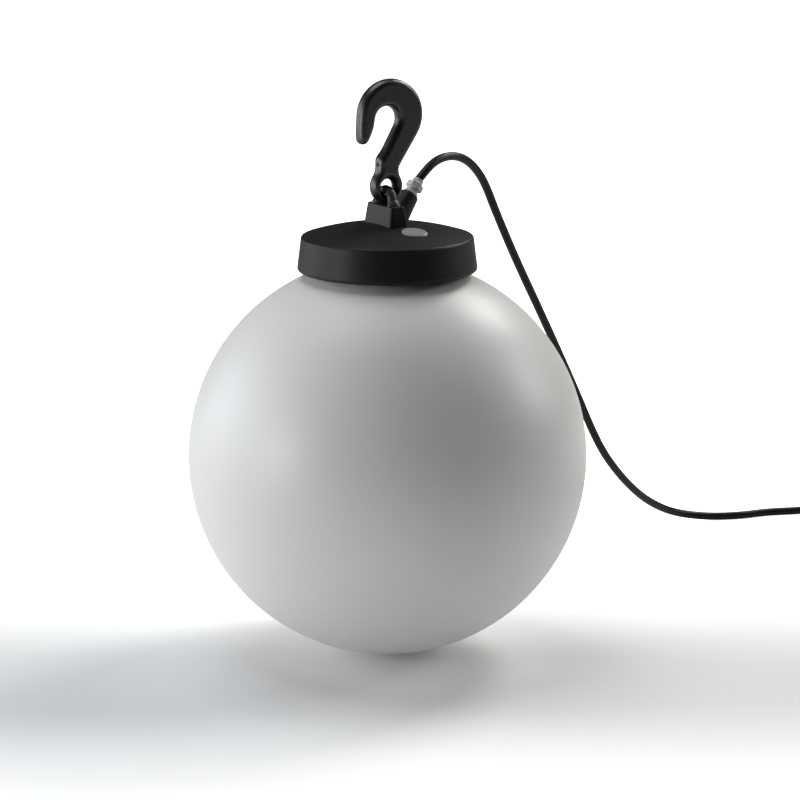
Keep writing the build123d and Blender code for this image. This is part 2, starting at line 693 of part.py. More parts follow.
def neck_ring():
    """Ring inside the cap that the globe's bayonet lugs turn in."""
    body = turned([(RING_BORE, RING_LOW), (RING_R_OUT, RING_LOW), (RING_R_OUT, RING_TOP),
                   (RING_TRACK_R, RING_TOP), (RING_TRACK_R, RING_LIP_TOP), (RING_BORE, RING_LIP_TOP)])
    for i in range(LUG_COUNT):
        start = i * 360 / LUG_COUNT
        notch = ring(RING_TRACK_R, RING_BORE - 1, RING_LOW - 1, RING_TOP + 1)
        body -= notch & sector(RING_TRACK_R + 5, start + GLOBE_TURN, NOTCH_ARC, RING_LOW - 1, RING_TOP + 1)
        at = Vector(RING_POST_AT, 0, 0).rotate(Axis.Z, 60 + i * 120)
        body -= cyl(SCREW_R + 0.2, RING_LOW - 1, RING_TOP + 1, at.X, at.Y)
        body -= cyl(SCREW_HEAD_R + 0.3, RING_LOW - 1, RING_LOW + 3.2, at.X, at.Y)
        stop = ring(RING_TRACK_R + 1, RING_BORE + 0.3, RING_LIP_TOP - 0.5, RING_LIP_TOP + 4)
        half = LUG_ARC / 2 + 2.5
        body += stop & sector(RING_TRACK_R + 5, start - half, 3.0, RING_LIP_TOP - 0.5, RING_LIP_TOP + 4)
    return body


def neck_gasket():
    """Rubber ring between the globe's neck and the cap's rib."""
    return ring(46.4, 40.8, NECK_TOP + 0.3, NECK_TOP + 0.3 + GASKET_H)


def ring_screws():
    """The three screws that hold the neck ring to the cap's posts."""
    places = [Vector(RING_POST_AT, 0, 0).rotate(Axis.Z, 60 + i * 120) for i in range(LUG_COUNT)]
    return all_of([screw(p.X, p.Y, RING_LOW + 3.2, 14.0) for p in places])


# ---------------------------------------------------------------- wiring

TERMINAL_U = (-9.0, -19.0)
TERMINAL_B = (19.0, 29.0)
TERMINAL_Z = 314.0
WIRE_R = 1.1
WIRE_BEND = 2.4


def terminal_block():
    """Two-pole screw terminal block."""
    low_u = TERMINAL_U[1] - 5
    high_u = TERMINAL_U[0] + 5
    at = plan((low_u + high_u) / 2, sum(TERMINAL_B) / 2, TERMINAL_Z)
    size = (high_u - low_u, TERMINAL_B[1] - TERMINAL_B[0], 9.0)
    body = Pos(at.X, at.Y, at.Z) * Rot(0, 0, YAW) * Box(*size)
    for u in TERMINAL_U:
        for b in (TERMINAL_B[0] + 2.5, TERMINAL_B[1] - 2.5):
            place = plan(u, b, 0)
            body -= cyl(1.9, TERMINAL_Z + 2.0, TERMINAL_Z + 6.0, place.X, place.Y)
    return body


def terminal_screws():
    """Clamping screws of the terminal block."""
    screws = []
    for u in TERMINAL_U:
        for b in (TERMINAL_B[0] + 2.5, TERMINAL_B[1] - 2.5):
            at = plan(u, b, 0)
            screws.append(cyl(1.8, TERMINAL_Z + 2.0, TERMINAL_Z + 3.6, at.X, at.Y))
    return all_of(screws)


def route(points):
    """World points of a wire that is given in the block's own directions."""
    return [plan(*p) for p in points]


def live_wires():
    """Brown cores: cord to terminal, and terminal to switch."""
    first = [(8.66, 18.06, 315.6), (6.4, 19.0, 312.6), (3.0, 28.0, 313.0), (-3.5, 34.4, 313.6),
             (-9.0, 35.0, 314.0), (-9.0, 29.0, 314.0)]
    second = [(-9.0, 19.0, 314.0), (-8.6, 14.6, 316.2), (-12.0, 5.0, 317.6), (-14.0, -8.0, 317.0),
              (-11.0, -22.0, 314.6), (-4.3, -31.6, 312.0)]
    return all_of([wire(route(first), WIRE_R, WIRE_BEND), wire(route(second), WIRE_R, WIRE_BEND)])


def neutral_wires():
    """Blue cores: cord to terminal, and terminal to lampholder."""
    first = [(9.34, 15.14, 315.4), (7.0, 16.0, 311.4), (6.0, 24.0, 309.4), (0.0, 33.0, 309.0),
             (-10.0, 35.6, 309.4), (-19.0, 34.4, 312.4), (-19.0, 29.0, 314.0)]
    second = [(-19.0, 19.0, 314.0), (-18.4, 14.8, 315.6), (-13.0, 13.4, 316.4), (-12.0, 13.5, 312.0)]
    return all_of([wire(route(first), WIRE_R, WIRE_BEND), wire(route(second), WIRE_R, 1.6)])


def switched_wire():
    """Black core from the switch to the lampholder."""
    points = [(8.2, -32.0, 312.0), (12.0, -28.0, 313.0), (12.5, -19.0, 315.4), (9.5, -14.6, 316.0),
              (9.0, -14.5, 312.0)]
    return wire(route(points), WIRE_R, 1.6)


# ---------------------------------------------------------------- free cord

def cord_tube(points):
    """Round cord of straight runs joined by arcs as large as the runs allow."""
    corners = [Vector(p) for p in points]
    runs = [b - a for a, b in zip(corners, corners[1:])]
    radii = []
    for before, after in zip(runs, runs[1:]):
        half_turn = math.radians(before.get_angle(after)) / 2
        radii.append(ARC_SHARE * min(before.length, after.length) / math.tan(half_turn))
    path = FilletPolyline(*corners, radius=radii)
    section = Plane(origin=path @ 0, z_dir=path % 0) * Circle(CORD_R)
    tube = sweep(section, path=path)
    expected = math.pi * CORD_R**2 * path.length
    print("cord radii", [round(r) for r in radii])
    print(f"cord length {path.length:.1f} volume {tube.volume:.0f} expected {expected:.0f}")
    return tube


def cord_coil():
    """The outer shape of the wound spare cord: one flat ring."""
    half = COIL_ROWS * TURN_PITCH / 2
    height = COIL_LAYERS * TURN_PITCH - (TURN_PITCH - CORD_D)
    section = RectangleRounded(2 * half, height, CORD_R - 0.2)
    section = Plane.XZ * (Pos(COIL_R_MID, COIL_LIFT + height / 2) * section)
    coil = Pos(*COIL_AT, 0) * revolve(section, Axis.Z, 360)
    print(f"coil holds {COIL_TURNS * 2 * math.pi * COIL_R_MID:.0f} mm of cord")
    return coil


def coil_tie():
    """Hook-and-loop strap round the coil."""
    half = COIL_ROWS * TURN_PITCH / 2 + 0.3
    height = COIL_LAYERS * TURN_PITCH + 0.1
    outer = Box(2 * (half + TIE_T), TIE_W, height + 2 * TIE_T)
    inner = Box(2 * half, TIE_W + 2, height)
    band = Pos(COIL_R_MID, 0, height / 2 + TIE_T) * (outer - inner)
    return Pos(*COIL_AT, 0) * Rot(0, 0, TIE_ANGLE) * band


# ---------------------------------------------------------------- plug

def plug_body():
    """Moulded two-pin plug with its ribbed strain relief."""
    front = PLUG_END - RELIEF_LENGTH - PLUG_LENGTH
    rear = PLUG_END - RELIEF_LENGTH
    facing = Plane(origin=(PLUG_X, front, PLUG_Z), x_dir=(1, 0, 0), z_dir=(0, 1, 0))
    face = facing * RectangleRounded(*PLUG_FACE, 11)
    waist = facing.offset(PLUG_LENGTH * 0.45) * RectangleRounded(PLUG_FACE[0], PLUG_FACE[1], 11)
    back = facing.offset(PLUG_LENGTH) * RectangleRounded(*PLUG_REAR, 6)
    body = extrude(face, PLUG_LENGTH * 0.45) + loft([waist, back])
    sleeve = Solid.make_cone(6.2, 4.4, RELIEF_LENGTH, plane=Plane(origin=(PLUG_X, rear, PLUG_Z), z_dir=(0, 1, 0)))
    for i in range(4):
        at = rear + 4.5 + i * 4.2
        groove = Pos(PLUG_X, at, PLUG_Z) * Rot(90, 0, 0) * (Cylinder(8, 1.6) - Cylinder(4.3, 2))
        sleeve -= groove
    pocket = facing * extrude(RectangleRounded(27, 12, 5), PIN_ROOT)
    return body + sleeve - pocket


def plug_insert():
    """Hard plate in the plug's face that holds the pins."""
    front = PLUG_END - RELIEF_LENGTH - PLUG_LENGTH
    facing = Plane(origin=(PLUG_X, front, PLUG_Z), x_dir=(1, 0, 0), z_dir=(0, 1, 0))
    plate = facing * extrude(RectangleRounded(27, 12, 5), PIN_ROOT)
    for x in (PLUG_X - PIN_SPACING / 2, PLUG_X + PIN_SPACING / 2):
        plate -= Pos(x, front, PLUG_Z) * Rot(90, 0, 0) * Cylinder(PIN_NECK_R, 3 * PIN_ROOT)
    return plate


def plug_pins():
    """The two round brass pins, each on a thinner root that is held in the plug."""
    front = PLUG_END - RELIEF_LENGTH - PLUG_LENGTH
    pins = []
    for x in (PLUG_X - PIN_SPACING / 2, PLUG_X + PIN_SPACING / 2):
        length = PIN_LENGTH - PIN_GAP
        pin = Pos(x, front - PIN_GAP - length / 2, PLUG_Z) * Rot(90, 0, 0) * Cylinder(PIN_R, length)
        tip = pin.edges().filter_by(lambda e: e.center().Y < front - PIN_LENGTH + EPS)
        root = Pos(x, front + (PIN_ROOT - PIN_GAP) / 2, PLUG_Z) * Rot(90, 0, 0)
        pins.append(fillet(tip, PIN_TIP_R) + root * Cylinder(PIN_NECK_R, PIN_ROOT + PIN_GAP))
    return all_of(pins)


# ---------------------------------------------------------------- output

NODES = {
    "cap_housing": cap_housing,
    "lifting_bow": lifting_bow,
    "bow_plate": bow_plate,
    "bow_nuts": bow_nuts,
    "hook": hook,
    "gland_nut": gland_nut,
    "gland_seal": gland_seal,
    "cord_inner_end": cord_inner_end,
    "push_button": push_button,
    "button_boot": button_boot,
    "switch_body": switch_body,
    "neck_ring": neck_ring,
    "neck_gasket": neck_gasket,
    "ring_screws": ring_screws,
    "globe_diffuser": globe_diffuser,
    "holder_bracket": holder_bracket,
    "bracket_screws": bracket_screws,
    "holder_nipple": holder_nipple,
    "nipple_nut": nipple_nut,
    "holder_body": holder_body,
    "holder_shell": holder_shell,
    "holder_contact": holder_contact,
    "bulb_screw_cap": bulb_screw_cap,
    "bulb_insulator": bulb_insulator,
    "bulb_contact": bulb_contact,
    "bulb_housing": bulb_housing,
    "bulb_dome": bulb_dome,
    "led_board": led_board,
    "led_chips": led_chips,
    "driver_board": driver_board,
    "terminal_block": terminal_block,
    "terminal_screws": terminal_screws,
    "live_wires": live_wires,
    "neutral_wires": neutral_wires,
    "switched_wire": switched_wire,
    "mains_cord": lambda: cord_tube(CORD_ROUTE),
    "cord_coil": cord_coil,
    "cord_tail": lambda: cord_tube(TAIL_ROUTE),
    "coil_tie": coil_tie,
    "plug_body": plug_body,
    "plug_insert": plug_insert,
    "plug_pins": plug_pins,
}

os.makedirs("parts", exist_ok=True)
for name, build in NODES.items():
    export_step(build(), f"parts/{name}.step")
    print("wrote", name)
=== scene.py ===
"""A garden globe light with a hook, a push button and a long cord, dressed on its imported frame."""

import logging
import math
from dataclasses import dataclass, field
from enum import Enum
from typing import Iterable, Sequence

import bpy
from mathutils import Matrix, Vector


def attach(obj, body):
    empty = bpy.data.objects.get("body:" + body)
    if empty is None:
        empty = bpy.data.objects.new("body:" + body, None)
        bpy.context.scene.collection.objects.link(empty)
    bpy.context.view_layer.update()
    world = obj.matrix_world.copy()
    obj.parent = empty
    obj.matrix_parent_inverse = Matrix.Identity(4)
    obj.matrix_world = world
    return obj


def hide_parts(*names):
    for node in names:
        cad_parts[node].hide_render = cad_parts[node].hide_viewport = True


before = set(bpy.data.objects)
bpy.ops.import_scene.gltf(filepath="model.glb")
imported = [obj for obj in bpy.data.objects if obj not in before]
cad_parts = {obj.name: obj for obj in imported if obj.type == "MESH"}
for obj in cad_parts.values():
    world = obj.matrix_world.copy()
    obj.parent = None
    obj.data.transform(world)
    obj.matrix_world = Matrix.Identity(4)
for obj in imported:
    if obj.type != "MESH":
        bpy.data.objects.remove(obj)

logging.basicConfig(level=logging.INFO, format="%(message)s")
LOG = logging.getLogger("globe_light")

Point = tuple[float, float, float]
Profile = list[tuple[float, float]]
MM = 0.001
YAW = math.radians(32.0)
U_AXIS = Vector((math.cos(YAW), math.sin(YAW), 0.0))
B_AXIS = Vector((-math.sin(YAW), math.cos(YAW), 0.0))
UP = Vector((0.0, 0.0, 1.0))


# ---------------------------------------------------------------- tools

class Axis(Enum):
    """The direction that a turned piece is spun about, before it is placed."""

    Z = (0.0, 0.0, 1.0)


def deselect() -> None:
    """Leaves edit mode and deselects every object."""
    if bpy.context.object and bpy.context.object.mode != "OBJECT":
        bpy.ops.object.mode_set(mode="OBJECT")
    bpy.ops.object.select_all(action="DESELECT")


def activate(piece: bpy.types.Object) -> None:
    """Makes one object the only one that operators act on.

    Args:
        piece: The object to select.
    """
    deselect()
    piece.select_set(True)
    bpy.context.view_layer.objects.active = piece


def named(name: str) -> bpy.types.Object:
    """Names the object that an operator has just added.

    Args:
        name: The piece's name.

    Returns:
        The active object.
    """
    piece = bpy.context.object
    piece.name = name
    piece.data.name = name
    return piece


def settle(piece: bpy.types.Object) -> bpy.types.Object:
    """Puts a piece's place into its mesh, so that its object sits at the origin.

    Args:
        piece: The finished piece.

    Returns:
        The same piece.
    """
    activate(piece)
    bpy.ops.object.transform_apply(location=True, rotation=True, scale=True)
    return piece


def modify(piece: bpy.types.Object, kind: str, **settings: object) -> None:
    """Adds a modifier and applies it.

    Args:
        piece: The piece to change.
        kind: Blender's name of the modifier type.
        **settings: The modifier's settings.
    """
    activate(piece)
    modifier = piece.modifiers.new(kind.title(), kind)
    for key, value in settings.items():
        setattr(modifier, key, value)
    bpy.ops.object.modifier_apply(modifier=modifier.name)


def tidy_mesh(piece: bpy.types.Object, gap: float = 1e-6) -> None:
    """Merges doubled points and turns the faces outwards.

    Args:
        piece: The piece to clean.
        gap: The distance under which points are merged.
    """
    activate(piece)
    bpy.ops.object.mode_set(mode="EDIT")
    bpy.ops.mesh.select_all(action="SELECT")
    bpy.ops.mesh.remove_doubles(threshold=gap)
    bpy.ops.mesh.normals_make_consistent(inside=False)
    bpy.ops.object.mode_set(mode="OBJECT")


def smooth(piece: bpy.types.Object, degrees: float = 35.0) -> None:
    """Shades a piece smooth, with edges sharper than an angle kept crisp.

    Args:
        piece: The piece to shade.
        degrees: The angle from which an edge is crisp.
    """
    activate(piece)
    bpy.ops.object.shade_smooth_by_angle(angle=math.radians(degrees))


def dot_at(name: str, place: Sequence[float]) -> bpy.types.Object:
    """Adds a mesh of one point, the start of a drawn outline, and stays in edit mode.

    Args:
        name: The piece's name.
        place: The point.

    Returns:
        The new object.
    """
    deselect()
    bpy.ops.mesh.primitive_plane_add(size=0.001, location=(0.0, 0.0, 0.0))
    piece = named(name)
    bpy.ops.object.mode_set(mode="EDIT")
    bpy.ops.mesh.select_all(action="SELECT")
    bpy.ops.mesh.merge(type="CENTER")
    bpy.ops.transform.translate(value=place)
    return piece


def draw(points: Iterable[Sequence[float]], start: Sequence[float]) -> None:
    """Extrudes the selected point from place to place.

    Args:
        points: The places after the first.
        start: The place of the selected point.
    """
    before = Vector(start)
    for point in points:
        step = Vector(point) - before
        bpy.ops.mesh.extrude_region_move(TRANSFORM_OT_translate={"value": step})
        before = Vector(point)


def turned(name: str, profile: Profile, steps: int = 96, closed: bool = False,
           degrees: float = 360.0) -> bpy.types.Object:
    """Spins an outline of (radius, height) points about Z.

    Args:
        name: The piece's name.
        profile: The outline in millimetres, from one end to the other.
        steps: The number of faces round the piece.
        closed: Whether the outline ends where it starts.
        degrees: How far round the outline is spun.

    Returns:
        The turned piece, in metres.
    """
    places = [(r * MM, 0.0, z * MM) for r, z in profile]
    if closed:
        places.append(places[0])
    piece = dot_at(name, places[0])
    draw(places[1:], places[0])
    bpy.ops.mesh.select_all(action="SELECT")
    bpy.ops.mesh.spin(steps=steps, angle=math.radians(degrees), center=(0, 0, 0), axis=Axis.Z.value)
    bpy.ops.mesh.select_all(action="SELECT")
    bpy.ops.mesh.remove_doubles(threshold=1e-6)
    if degrees < 360.0:
        bpy.ops.mesh.select_all(action="DESELECT")
        bpy.ops.mesh.select_non_manifold()
        bpy.ops.mesh.edge_face_add()
    bpy.ops.object.mode_set(mode="OBJECT")
    tidy_mesh(piece)
    return piece


def softened(corners: Profile, spacing: float, passes: int) -> Profile:
    """Spreads points evenly along a closed outline and rounds its corners a little.

    Args:
        corners: The outline's corners, in millimetres.
        spacing: The distance between the new points.
        passes: How often each point is moved towards its neighbours.

    Returns:
        The even, rounded outline.
    """
    points: Profile = []
    for (ax, az), (bx, bz) in zip(corners, corners[1:] + corners[:1]):
        count = max(1, round(math.hypot(bx - ax, bz - az) / spacing))
        points += [(ax + (bx - ax) * i / count, az + (bz - az) * i / count) for i in range(count)]
    for _ in range(passes):
        before, after = points[-1:] + points[:-1], points[1:] + points[:1]
        points = [((px + 2 * x + nx) / 4, (pz + 2 * z + nz) / 4)
                  for (px, pz), (x, z), (nx, nz) in zip(before, points, after)]
    return points


def forged(name: str, outline: Profile, half: float, crown: float, steps: int = 7) -> bpy.types.Object:
    """Makes a flat shape with an oval section: its face is inset and raised step by step, then mirrored.

    Args:
        name: The piece's name.
        outline: The outline, in millimetres, in the piece's own plane.
        half: Half its thickness.
        crown: How far in from the outline its face becomes flat.
        steps: The number of steps round the section.

    Returns:
        The piece about its own plane, local X and Y along the outline's axes, in metres.
    """
    places = [(x * MM, z * MM, 0.0) for x, z in outline]
    piece = dot_at(name, places[0])
    draw(places[1:] + places[:1], places[0])
    bpy.ops.mesh.select_all(action="SELECT")
    bpy.ops.mesh.remove_doubles(threshold=1e-6)
    bpy.ops.mesh.fill()
    bpy.ops.mesh.select_all(action="SELECT")
    bpy.ops.object.mode_set(mode="OBJECT")
    if piece.data.polygons[0].normal.z < 0:
        bpy.ops.object.mode_set(mode="EDIT")
        bpy.ops.mesh.flip_normals()
        bpy.ops.object.mode_set(mode="OBJECT")
    bpy.ops.object.mode_set(mode="EDIT")
    inset, height = 0.0, 0.0
    for step in range(1, steps + 1):
        angle = math.pi / 2 * step / steps
        next_inset, next_height = crown * (1 - math.cos(angle)), half * math.sin(angle)
        bpy.ops.mesh.inset(thickness=(next_inset - inset) * MM, depth=(next_height - height) * MM)
        inset, height = next_inset, next_height
    bpy.ops.object.mode_set(mode="OBJECT")
    modify(piece, "MIRROR", use_axis=(False, False, True), use_clip=True, merge_threshold=2e-6)
    return piece


def cut(piece: bpy.types.Object, tool: bpy.types.Object) -> None:
    """Cuts one piece out of another and removes the tool.

    Args:
        piece: The piece that is cut.
        tool: The piece that is taken away.
    """
    modify(piece, "BOOLEAN", operation="DIFFERENCE", object=tool, solver="EXACT")
    bpy.data.objects.remove(tool)


def joined(pieces: list[bpy.types.Object]) -> bpy.types.Object:
    """Joins pieces into the first one.

    Args:
        pieces: The pieces, the one that is kept first.

    Returns:
        The joined piece.
    """
    deselect()
    for piece in pieces:
        piece.select_set(True)
    bpy.context.view_layer.objects.active = pieces[0]
    bpy.ops.object.join()
    return pieces[0]


def arc(cx: float, cz: float, radius: float, start: float, end: float, count: int) -> Profile:
    """Points of an arc in an outline.

    Args:
        cx: Centre's radius.
        cz: Centre's height.
        radius: Radius of the arc.
        start: First angle in degrees.
        end: Last angle in degrees.
        count: Number of steps.

    Returns:
        The points from start to end.
    """
    angles = [math.radians(start + (end - start) * i / count) for i in range(count + 1)]
    return [(cx + radius * math.cos(a), cz + radius * math.sin(a)) for a in angles]


def place(piece: bpy.types.Object, matrix: Matrix) -> bpy.types.Object:
    """Moves a piece by a matrix and settles it.

    Args:
        piece: The piece, made about the origin.
        matrix: Where it goes, in metres.

    Returns:
        The same piece.
    """
    piece.matrix_world = matrix
    return settle(piece)


def frame_of(origin: Sequence[float], normal: Vector, along: Vector | None = None) -> Matrix:
    """A placing matrix whose Z is a direction.

    Args:
        origin: The place, in millimetres.
        normal: The direction of Z.
        along: The direction that X stays nearest to.

    Returns:
        The matrix, in metres.
    """
    z = normal.normalized()
    x = (along or U_AXIS)
    x = (x - z * x.dot(z)).normalized()
    y = z.cross(x)
    turn = Matrix((x, y, z)).transposed().to_4x4()
    return Matrix.Translation(Vector(origin) * MM) @ turn


# ---------------------------------------------------------------- finishes

class Link:
    """A short way to add and join the nodes of one tree."""

    def __init__(self, tree: bpy.types.NodeTree) -> None:
        """Keeps the tree that nodes go into."""
        self.tree = tree

    def add(self, kind: str, inputs: dict[str, object] | None = None, **settings: object) -> bpy.types.Node:
        """Adds a node.

        Args:
            kind: Blender's node type.
            inputs: Values, or output sockets, by input name.
            **settings: The node's own settings.

        Returns:
            The node.
        """
        node = self.tree.nodes.new(kind)
        for key, value in settings.items():
            setattr(node, key, value)
        for key, value in (inputs or {}).items():
            if isinstance(value, bpy.types.NodeSocket):
                self.tree.links.new(value, node.inputs[key])
            else:
                node.inputs[key].default_value = value
        return node


def grain_group() -> bpy.types.NodeTree:
    """The shared surface effect: uneven colour, uneven gloss and a fine grain.

    Returns:
        A shader node group with named inputs.
    """
    if "surface_grain" in bpy.data.node_groups:
        return bpy.data.node_groups["surface_grain"]
    tree = bpy.data.node_groups.new("surface_grain", "ShaderNodeTree")
    sockets = [("Colour", "NodeSocketColor"), ("Gloss", "NodeSocketFloat"), ("Mottle", "NodeSocketFloat"),
               ("Grain Size", "NodeSocketFloat"), ("Grain Depth", "NodeSocketFloat")]
    for name, kind in sockets:
        tree.interface.new_socket(name=name, in_out="INPUT", socket_type=kind)
    for name, kind in [("Colour", "NodeSocketColor"), ("Roughness", "NodeSocketFloat"),
                       ("Normal", "NodeSocketVector")]:
        tree.interface.new_socket(name=name, in_out="OUTPUT", socket_type=kind)
    link = Link(tree)
    given = link.add("NodeGroupInput").outputs
    where = link.add("ShaderNodeTexCoord").outputs["Object"]
    broad = link.add("ShaderNodeTexNoise", {"Vector": where, "Scale": 38.0, "Detail": 3.0})
    centred = link.add("ShaderNodeMath", {0: broad.outputs["Fac"], 1: 0.5}, operation="SUBTRACT")
    swing = link.add("ShaderNodeMath", {0: centred.outputs[0], 1: given["Mottle"]}, operation="MULTIPLY")
    gain = link.add("ShaderNodeMath", {0: swing.outputs[0], 1: 1.0}, operation="ADD")
    scaled = link.add("ShaderNodeVectorMath", {0: given["Colour"], "Scale": gain.outputs[0]}, operation="SCALE")
    fine = link.add("ShaderNodeTexNoise", {"Vector": where, "Scale": given["Grain Size"], "Detail": 2.0})
    bump = link.add("ShaderNodeBump", {"Height": fine.outputs["Fac"], "Distance": given["Grain Depth"],
                                       "Strength": 0.6})
    wear = link.add("ShaderNodeMath", {0: swing.outputs[0], 1: 0.35}, operation="MULTIPLY")
    gloss = link.add("ShaderNodeMath", {0: given["Gloss"], 1: wear.outputs[0]}, operation="ADD",
                     use_clamp=True)
    link.add("NodeGroupOutput", {"Colour": scaled.outputs[0], "Roughness": gloss.outputs[0],
                                 "Normal": bump.outputs[0]})
    return tree


@dataclass(frozen=True)
class Finish:
    """One finish of the light: a colour, a gloss and a grain at real scale."""

    name: str
    colour: tuple[float, float, float]
    gloss: float = 0.45
    metallic: float = 0.0
    mottle: float = 0.12
    grain_size: float = 900.0
    grain_depth: float = 0.00006
    coat: float = 0.0
    coat_gloss: float = 0.2
    translucent: float = 0.0
    depth: float = 0.004
    clear: float = 0.0
    specular: float = 0.5

    def build(self) -> bpy.types.Material:
        """Makes the finish's material, or finds it.

        Returns:
            The node material.
        """
        if self.name in bpy.data.materials:
            return bpy.data.materials[self.name]
        material = bpy.data.materials.new(self.name)
        material.use_nodes = True
        material.node_tree.nodes.clear()
        link = Link(material.node_tree)
        grain = link.add("ShaderNodeGroup", node_tree=grain_group())
        for key, value in {"Colour": (*self.colour, 1.0), "Gloss": self.gloss, "Mottle": self.mottle,
                           "Grain Size": self.grain_size, "Grain Depth": self.grain_depth}.items():
            grain.inputs[key].default_value = value
        shader = link.add("ShaderNodeBsdfPrincipled", {
            "Base Color": grain.outputs["Colour"], "Roughness": grain.outputs["Roughness"],
            "Normal": grain.outputs["Normal"], "Metallic": self.metallic,
            "Coat Weight": self.coat, "Coat Roughness": self.coat_gloss,
            "Subsurface Weight": self.translucent, "Subsurface Scale": self.depth,
            "Transmission Weight": self.clear, "Specular IOR Level": self.specular})
        shader.inputs["Subsurface Radius"].default_value = (1.0, 1.0, 1.0)
        link.add("ShaderNodeOutputMaterial", {"Surface": shader.outputs[0]})
        return material


OPAL = Finish("opal_satin", (0.83, 0.812, 0.797), gloss=0.4, mottle=0.012, grain_size=2600.0,
              grain_depth=0.00001)
CAP_BLACK = Finish("cap_black", (0.0105, 0.0105, 0.008), gloss=0.46, mottle=0.2, grain_size=2200.0,
                   grain_depth=0.00005, specular=0.24)
HOOK_BLACK = Finish("hook_black", (0.0045, 0.0045, 0.0032), gloss=0.36, mottle=0.25, grain_size=420.0,
                    grain_depth=0.00006, specular=0.85)
BOW_STEEL = Finish("bow_steel", (0.008, 0.008, 0.007), gloss=0.3, mottle=0.3, grain_size=700.0, specular=0.45)
NYLON = Finish("gland_nylon", (0.36, 0.34, 0.31), gloss=0.24, mottle=0.1, translucent=0.2, depth=0.002,
               clear=0.3)
BUTTON_GREY = Finish("button_grey", (0.31, 0.31, 0.305), gloss=0.46, mottle=0.06, grain_size=2600.0,
                     grain_depth=0.00003)
SHEATH = Finish("cord_sheath", (0.009, 0.009, 0.0075), gloss=0.36, mottle=0.2, grain_size=1500.0,
                grain_depth=0.00001, specular=0.16)
RUBBER = Finish("moulded_rubber", (0.02, 0.02, 0.02), gloss=0.6, mottle=0.25, grain_size=1300.0)
ZINC = Finish("zinc_plate", (0.6, 0.6, 0.57), gloss=0.36, metallic=1.0, mottle=0.2)
BRASS = Finish("pressed_brass", (0.78, 0.58, 0.26), gloss=0.3, metallic=1.0, mottle=0.15)
NICKEL = Finish("nickel_plate", (0.7, 0.69, 0.66), gloss=0.25, metallic=1.0, mottle=0.12)
SOLDER = Finish("solder", (0.55, 0.55, 0.56), gloss=0.45, metallic=1.0, mottle=0.3, grain_size=500.0)
BLACK_MOULDED = Finish("black_moulded", (0.022, 0.022, 0.022), gloss=0.4, mottle=0.15)
WHITE_MOULDED = Finish("white_moulded", (0.8, 0.8, 0.79), gloss=0.4, mottle=0.04)
OPAL_BULB = Finish("bulb_opal", (0.86, 0.86, 0.84), gloss=0.5, mottle=0.03)
BOARD_WHITE = Finish("board_white", (0.75, 0.75, 0.74), gloss=0.5, mottle=0.05)
PHOSPHOR = Finish("phosphor", (0.85, 0.68, 0.12), gloss=0.5, mottle=0.1)
LAMINATE = Finish("laminate", (0.04, 0.22, 0.07), gloss=0.35, mottle=0.15)
NATURAL_NYLON = Finish("natural_nylon", (0.72, 0.7, 0.63), gloss=0.45, mottle=0.06, translucent=0.2)
WIRE_BROWN = Finish("wire_brown", (0.14, 0.05, 0.02), gloss=0.4)
WIRE_BLUE = Finish("wire_blue", (0.03, 0.09, 0.35), gloss=0.4)
WIRE_BLACK = Finish("wire_black", (0.015, 0.015, 0.015), gloss=0.4)
STRAP = Finish("woven_strap", (0.02, 0.02, 0.021), gloss=0.85, mottle=0.5, grain_size=1900.0,
               grain_depth=0.0004)

NODE_FINISH: dict[str, Finish] = {
    "cap_housing": CAP_BLACK, "lifting_bow": BOW_STEEL, "bow_plate": ZINC, "bow_nuts": ZINC,
    "hook": HOOK_BLACK, "gland_nut": NYLON, "gland_seal": RUBBER, "cord_inner_end": SHEATH,
    "push_button": BUTTON_GREY, "button_boot": RUBBER, "switch_body": BLACK_MOULDED,
    "neck_ring": CAP_BLACK, "neck_gasket": RUBBER, "ring_screws": ZINC, "globe_diffuser": OPAL,
    "holder_bracket": ZINC, "bracket_screws": ZINC, "holder_nipple": ZINC, "nipple_nut": ZINC,
    "holder_body": BLACK_MOULDED, "holder_shell": BRASS, "holder_contact": BRASS,
    "bulb_screw_cap": NICKEL, "bulb_insulator": BLACK_MOULDED, "bulb_contact": SOLDER,
    "bulb_housing": WHITE_MOULDED, "bulb_dome": OPAL_BULB, "led_board": BOARD_WHITE,
    "led_chips": PHOSPHOR, "driver_board": LAMINATE, "terminal_block": NATURAL_NYLON,
    "terminal_screws": ZINC, "live_wires": WIRE_BROWN, "neutral_wires": WIRE_BLUE,
    "switched_wire": WIRE_BLACK, "mains_cord": SHEATH, "cord_coil": SHEATH, "cord_tail": SHEATH,
    "coil_tie": STRAP, "plug_body": RUBBER, "plug_insert": BLACK_MOULDED, "plug_pins": BRASS,
}


def dress(piece: bpy.types.Object, finish: Finish) -> None:
    """Gives a piece its finish.

    Args:
        piece: A new piece or a CAD node.
        finish: The finish to use.
    """
    piece.data.materials.clear()
    piece.data.materials.append(finish.build())


# ---------------------------------------------------------------- cord


